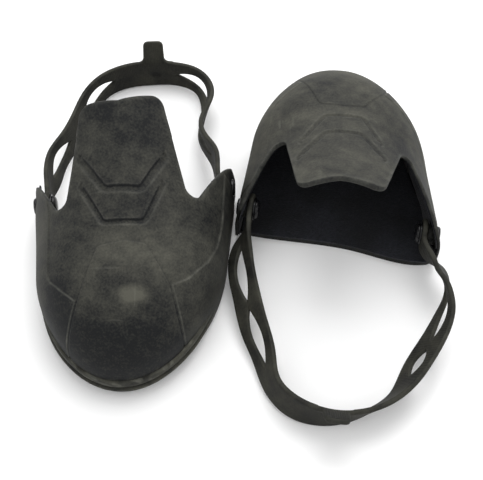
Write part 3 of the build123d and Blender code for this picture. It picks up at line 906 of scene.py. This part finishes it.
def make_upper(name, form, outline, top):
    """Moulded rubber upper: vamp with its relief, tongue, wings, and bosses for the strap."""
    tongue = top[(run_to_y(top[:, 1]) > 128) & (np.abs(top[:, 0]) < 60)]
    flat, faces = flat_mesh([outline], near_relief(form))
    points, flat, faces = welded(form.points(flat), flat, faces)
    faces, normals = facing_out(points, faces, UPPER_MIDDLE)
    edge, _ = distance_to(flat, top)
    bead, _ = distance_to(flat, tongue)
    lifted, dark, light = relief(points)
    up = lifted + BEAD_HEIGHT * smooth(1.6 * (1 - bead / BEAD_WIDTH)) + 0.10 * hills(points, 26, 7)
    bulge = np.where(points[:, 2] < SOLE + 0.3, 0.0, UPPER_BULGE)
    skin, solid, source, side = thick_sheet(points, faces, normals, up, wall_thickness(points), bulge)
    # The relief's dark lines are painted shade taken off the dust, and its light lines, painted highlights
    # and rubbed wear, go into the wear value.
    dust_and_shade = np.clip(upper_dust(points[source], side, name) - dark[source], 0, 1)
    wear_and_highlight = upper_wear_and_highlights(points[source], light[source], edge[source], side)
    bosses, boss_faces = pivot_bosses()
    solid += [[index + len(skin) for index in face] for face in boss_faces]
    values = {"dust_and_shade": np.concatenate([dust_and_shade, np.full(len(bosses), 0.15)]),
              "wear_and_highlight": np.concatenate([wear_and_highlight, np.zeros(len(bosses))])}
    return make_object(name + "_upper", np.vstack([skin, bosses]), solid, name, name + "_overshoe",
                       UPPER_RUBBER, [name + "_upper_shell"], values)


def shrunk(loop, gap):
    """The loop moved inwards by gap, apart from its points at the toe line."""
    ahead, back = np.roll(loop, -1, axis=0), np.roll(loop, 1, axis=0)
    along = unit(ahead - back)
    inward = np.stack([-along[:, 1], along[:, 0]], 1)
    moved = loop + inward * gap
    moved[loop[:, 1] < 1e-6] = loop[loop[:, 1] < 1e-6]
    return moved


def make_lining(name, form, outline):
    """Napped textile glued inside the upper, short of its edges and cut away around the strap's pads."""
    turn = np.linspace(0, 2 * pi, 37)[:-1]
    ring = np.stack([np.cos(turn), np.sin(turn)], 1) * (PAD_RADIUS + LINING_CLEARANCE)
    gaps = [form.beside_pivot(side) + ring for side in (-1, 1)]
    flat, faces = flat_mesh([shrunk(outline, LINING_SETBACK)] + gaps, coarse=2.2)
    points, flat, faces = welded(form.points(flat), flat, faces)
    faces, normals = facing_out(points, faces, UPPER_MIDDLE)
    depth = wall_thickness(points) + LINING_GLUE
    rumple = 0.12 * hills(points, 7, 9)
    far = depth + LINING_THICKNESS - rumple
    skin, solid, _, _ = thick_sheet(points, faces, normals, -depth + rumple, far, LINING_BULGE, rows=4)
    return make_object(name + "_lining_cloth", skin, solid, name, name + "_overshoe",
                       LINING_CLOTH, [name + "_lining"])


def toe_band(depth_at, z_rows, end, count=130):
    """Closed band around the toe; z_rows are (height, how far inside the outer face) from top to bottom."""
    stations = []
    for side in (-1, 1):
        run = np.linspace(0, 1, count) ** 1.6 * end
        x = side_x(side, run, 0.0)
        line = np.stack([x, run], 1)
        stations.append(line[::-1] if side < 0 else line[1:])
    path = np.vstack(stations)
    along = unit(np.gradient(path, axis=0))
    inward = np.stack([-along[:, 1], along[:, 0]], 1)
    depth = depth_at(path[:, 1])[:, None]
    rows = []
    for z, inset in z_rows:
        place = path + inward * (np.minimum(inset, depth) if inset > 0 else inset * depth / depth.max())
        rows.append(np.column_stack([place, np.full(len(path), z)]))
    points = np.vstack(rows)
    size = len(path)
    faces = []
    for r in range(len(rows)):
        nxt = (r + 1) % len(rows)
        for i in range(size - 1):
            faces.append([r * size + i, r * size + i + 1, nxt * size + i + 1, nxt * size + i])
    faces.append([r * size for r in range(len(rows))])
    faces.append([r * size + size - 1 for r in range(len(rows))][::-1])
    return points, faces


ALL_IN = 99.0            # a row of a band that lies at its full depth


def make_toe_rim(name):
    """Foxing band around the toe, with a groove above its thicker lower lip."""
    rows = [(RIM_TOP, ALL_IN), (RIM_TOP, 1.2), (RIM_TOP - 0.15, 0.6), (RIM_TOP - 0.55, 0.18),
            (RIM_TOP - 1.2, 0.0), (13.6, 0.05), (11.6, 0.12), (11.0, 0.35), (10.7, 1.0), (10.35, 1.2),
            (10.1, 0.6), (9.85, -0.2), (9.4, -0.75), (8.7, -0.95), (8.0, -0.85), (7.5, -0.4),
            (RIM_BOTTOM, 0.3), (RIM_BOTTOM, ALL_IN)]
    points, faces = toe_band(lambda y: rim_setback(y) + 0.5, rows, RIM_END)
    height = points[:, 2]
    lip = peak(height, RIM_TOP, 0.9) + peak(height, 8.6, 0.7)
    lip += peak(height, 11.8, 0.8) - 2 * peak(height, 10.5, 0.3)
    lateral = smooth((points[:, 0] - 8) / 30)
    dust_and_shade = 0.25 + 0.35 * lateral + 0.18 * hills(points, 16, 13) + (0.2 if name == "right" else 0)
    # Painted shade along the groove above the lower lip.
    dust_and_shade -= 0.5 * peak(height, 10.5, 0.3)
    scuffed = 0.30 * smooth(2.2 * hills(points, 7, 8) - 0.4) * (height > 11)
    wear_and_highlight = 0.14 * lip * (1 + hills(points, 9, 2)) + scuffed
    values = {"dust_and_shade": np.clip(dust_and_shade, 0, 1), "wear_and_highlight": np.clip(wear_and_highlight, 0, 1)}
    return make_object(name + "_foxing", points, faces, name, name + "_overshoe",
                       SOLE_RUBBER, [name + "_toe_rim"], values)


def natural_spline(knots, values, at):
    """Values at a parameter on the twice-smooth curve through the given knots."""
    count = len(knots)
    step = np.diff(knots)
    matrix = np.eye(count)
    right = np.zeros((count, values.shape[1]))
    for i in range(1, count - 1):
        matrix[i, i - 1:i + 2] = step[i - 1], 2 * (step[i - 1] + step[i]), step[i]
        right[i] = 6 * ((values[i + 1] - values[i]) / step[i] - (values[i] - values[i - 1]) / step[i - 1])
    bend = np.linalg.solve(matrix, right)
    i = np.clip(np.searchsorted(knots, at) - 1, 0, count - 2)
    h = step[i][:, None]
    a, b = (knots[i + 1][:, None] - at[:, None]) / h, (at[:, None] - knots[i][:, None]) / h
    return (a * values[i] + b * values[i + 1]
            + ((a**3 - a) * bend[i] + (b**3 - b) * bend[i + 1]) * h**2 / 6)


class StrapForm:
    """The middle surface of a heel strap: how far along it, and across it."""

    def __init__(self, name):
        route = np.array(LEFT_STRAP if name == "left" else RIGHT_STRAP, float)
        self.name = name
        knots = run_along(route[:, :3])
        fine = np.linspace(0, knots[-1], 1500)
        line = natural_spline(knots, route[:, :3], fine)
        run = run_along(line)
        self.length = run[-1]
        self.run = np.linspace(0, self.length, 900)
        self.centre = looked_up(self.run, run, line)
        along = unit(np.gradient(self.centre, axis=0))
        outward = unit(np.cross(along, (0.0, 0.0, -1.0)))
        upright = unit(np.cross(outward, along))
        upright *= np.sign(upright[:, 2])[:, None]
        lean_table = list(zip(np.interp(knots, fine, run), route[:, 3]))
        lean = np.radians(curve_value(lean_table, self.run))[:, None]
        self.along = along
        self.across = upright * np.cos(lean) + outward * np.sin(lean)
        self.tab_middle = self.length / 2 + TAB_SHIFT[name]
        self.rise = self.tab_direction()

    def value(self, rows, distance):
        """Rows worked out at distances along the strap."""
        return looked_up(distance, self.run, rows)

    def half(self, distance):
        """Half the band's width at distances along the strap."""
        return curve_value(BAND_WIDTH, np.minimum(distance, self.length - distance)) / 2

    def tab_direction(self):
        """Direction in which the pull tab stands: upwards, leaning out from the heel."""
        along = self.value(self.along, [self.tab_middle])[0]
        outward = unit(np.cross(unit(along), (0, 0, 1)))
        outward = outward if outward[1] > 0 else -outward
        lean = radians(TAB_LEAN[self.name])
        return np.array((0, 0, 1)) * np.cos(lean) + outward * np.sin(lean)

    def points(self, flat):
        """Flat places put on the strap's middle surface, where the tab bends upright at its root."""
        distance, across = flat[:, 0], flat[:, 1]
        held = np.clip(distance, 0, self.length)
        base = self.value(self.centre, held) + self.value(self.along, held) * (distance - held)[:, None]
        bend_start = self.half(np.array([self.tab_middle]))[0] - 2.5
        is_tab = np.abs(distance - self.tab_middle) < TAB_WIDTH / 2 + 4
        t = np.clip((across - bend_start) / TAB_BEND, 0, 1) * is_tab
        leaning = TAB_BEND * (t**3 - t**4 / 2) + np.maximum(across - bend_start - TAB_BEND, 0) * is_tab
        in_band = self.value(self.across, held) * (across - leaning)[:, None]
        return base + in_band + self.rise * leaning[:, None]

    def outline(self):
        """Closed flat outline of the strap, with its round pads and its tab."""
        meet = np.arccos(5.4 / PAD_RADIUS)
        turn = np.linspace(meet, 2 * pi - meet, 26)
        medial = np.stack([PAD_RADIUS * np.cos(turn), PAD_RADIUS * np.sin(turn)], 1)
        lateral = np.stack([self.length - medial[:, 0], -medial[:, 1]], 1)
        edge = np.arange(7.2, self.length - 7.2, 1.6)
        lower = np.stack([edge, -self.half(edge)], 1)
        upper = np.stack([edge, self.half(edge)], 1)[::-1]
        root = self.half(np.array([self.tab_middle]))[0]
        reach = TAB_WIDTH / 2
        tip = reach - TAB_TAPER
        tab = rounded([(self.tab_middle + reach + 6, root, 0),
                       (self.tab_middle + reach, root, TAB_ROOT_RADIUS),
                       (self.tab_middle + tip, root + TAB_LENGTH, TAB_TIP_RADIUS),
                       (self.tab_middle - tip, root + TAB_LENGTH, TAB_TIP_RADIUS),
                       (self.tab_middle - reach, root, TAB_ROOT_RADIUS),
                       (self.tab_middle - reach - 6, root, 0)])
        before = upper[upper[:, 0] > self.tab_middle + reach + 6.5]
        after = upper[upper[:, 0] < self.tab_middle - reach - 6.5]
        return spaced(np.vstack([medial, lower, lateral, before, tab, after]), EDGE_STEP, closed=True)

    def holes(self):
        """Flat outlines of the lens-shaped slots and of the rivet holes."""
        spans = list(SLOTS[self.name][-1])
        spans += [(self.length - end, self.length - start) for start, end in SLOTS[self.name][1]]
        loops = []
        for start, end in spans:
            t = (1 - np.cos(np.linspace(0, pi, 34))) / 2
            gap = SLOT_OPENING / 2 * np.sin(pi * t) ** SLOT_FULLNESS
            run = start + (end - start) * t
            loops.append(np.vstack([np.stack([run, gap], 1)[:-1], np.stack([run, -gap], 1)[::-1][:-1]]))
        turn = np.linspace(0, 2 * pi, 25)[:-1]
        for middle in (0.0, self.length):
            loops.append(np.stack([middle + SHANK_HOLE * np.cos(turn), SHANK_HOLE * np.sin(turn)], 1))
        return loops


def make_strap(name):
    """One-piece rubber heel strap, with slots, round pads, a pull tab and a moulded oval mark."""
    form = StrapForm(name)
    flat, faces = flat_mesh([form.outline()] + form.holes(), coarse=1.35)
    points = form.points(flat)
    faces, normals = facing_out(points, faces, points.mean(0))
    oval = np.hypot((flat[:, 0] - form.length / 2 - 8) / 3.6, flat[:, 1] / 2.2)
    half = np.full(len(points), STRAP_THICKNESS / 2)
    dent = 0.7 * (1 - smooth((oval - 0.75) / 0.3)) - 0.15 * peak(oval, 1.3, 0.15)
    skin, solid, source, side = thick_sheet(points, faces, normals, half, half - dent, STRAP_BULGE)
    # Painted shade inside the recessed oval mark on the inner face.
    oval_shade = 0.8 * (1 - smooth((oval - 0.9) / 0.3))
    places = points[source]
    dust_and_shade = 0.30 + 0.25 * hills(places, 30, 17 if name == "left" else 19) + 0.12 * hills(places, 9, 4)
    wear_and_highlight = 0.13 * np.exp(-side**2 / 0.1) * (0.8 + 0.6 * hills(places, 14, 6))
    # The oval's painted shade is taken off the dust on the inner face.
    dust_and_shade -= np.where(side < 0, oval_shade[source], 0)
    values = {"dust_and_shade": np.clip(dust_and_shade, 0, 1), "wear_and_highlight": np.clip(wear_and_highlight, 0, 1), "ribbed": (side < 0).astype(float)}
    return make_object(name + "_strap_band", skin, solid, name, name + "_strap", STRAP_RUBBER,
                       [name + "_heel_strap"], values, flat[source] * MM)


def make_rivet_cap(name, side):
    """Glossy domed cap on the inner end of a rivet."""
    base = -(STRAP_THICKNESS / 2 + PAD_PLAY + RIVET_WASHER_THICKNESS)
    dome = [(0.0, 0.8), (0.0, 5.7), (0.2, 5.95), (0.7, 6.0), (1.4, 5.8), (2.1, 5.2), (2.6, 4.2),
            (2.9, 2.8), (3.0, 1.2), (3.0, 0.3)]
    profile = [(base - along, radius) for along, radius in dome]
    points, faces = turned(profile, PIVOT[side], pivot_axis() * side)
    side_name = "medial" if side < 0 else "lateral"
    return make_object(name + "_" + side_name + "_cap", points, faces, name, name + "_overshoe",
                       RIVET_BLACK, [name + "_" + side_name + "_rivet_cap"])


def finish_cad_nodes():
    """Materials of the pieces whose CAD shape is shown as it is."""
    looks = {"outsole": SOLE_RUBBER, "insole": FOOTBED_CLOTH, "toe_cap": CAP_STEEL,
             "toe_cap_strip": STRIP_PLASTIC, "rivet": RIVET_BLACK}
    for node_name, obj in frame["nodes"].items():
        piece = node_name.split("_", 1)[1]
        key = "rivet" if "rivet" in piece else piece
        if key not in looks:
            continue
        obj.data.materials.clear()
        obj.data.materials.append(looks[key])


def make_stage():
    """Plain pale floor, soft lights and a white surround."""
    half = 3.0
    mesh = bpy.data.meshes.new("floor")
    corners = [(-half, -half, 0), (half, -half, 0), (half, half, 0), (-half, half, 0)]
    mesh.from_pydata(corners, [], [(0, 1, 2, 3)])
    floor = put_object("floor", mesh)
    paper, _, _ = start_material("floor_paper", Roughness=0.9, Base_Color=(0.93, 0.93, 0.93, 1))
    mesh.materials.append(paper)
    world = bpy.data.worlds.new("studio")
    world.use_nodes = True
    world.node_tree.nodes["Background"].inputs[0].default_value = (1, 1, 1, 1)
    world.node_tree.nodes["Background"].inputs[1].default_value = 0.85
    bpy.context.scene.world = world
    for name, spot, size, power in (("back_light", (0.1, 0.75, 1.1), 1.1, 14.5),
                                    ("left_light", (-1.0, -0.3, 0.9), 1.0, 2.0),
                                    ("right_light", (1.1, -0.2, 0.9), 1.0, 3.0)):
        data = bpy.data.lights.new(name, "AREA")
        data.energy, data.size = power, size
        lamp = put_object(name, data)
        lamp.location = spot
        lamp.rotation_euler = (Vector((0, 0, 0.03)) - Vector(spot)).to_track_quat("-Z", "Y").to_euler()


def make_camera():
    """Camera above and in front of the pair."""
    tilt, distance, lens = radians(57), 0.5857, 68.2
    aim = Vector((HOME[0] * MM, HOME[1] * MM, 0))
    data = bpy.data.cameras.new("camera")
    data.lens, data.sensor_width = lens, 36
    camera = put_object("camera", data)
    camera.location = aim + Vector((0, -distance * np.cos(tilt), distance * np.sin(tilt)))
    camera.rotation_euler = (aim - camera.location).to_track_quat("-Z", "Y").to_euler()
    bpy.context.scene.camera = camera


make_camera()
make_stage()
form = UpperForm()
outline, top = upper_outline(form)
for name in ("left", "right"):
    make_upper(name, form, outline, top)
    make_lining(name, form, outline)
    make_toe_rim(name)
    make_strap(name)
    for side in (-1, 1):
        make_rivet_cap(name, side)
finish_cad_nodes()
bpy.context.scene.view_settings.view_transform = "Standard"
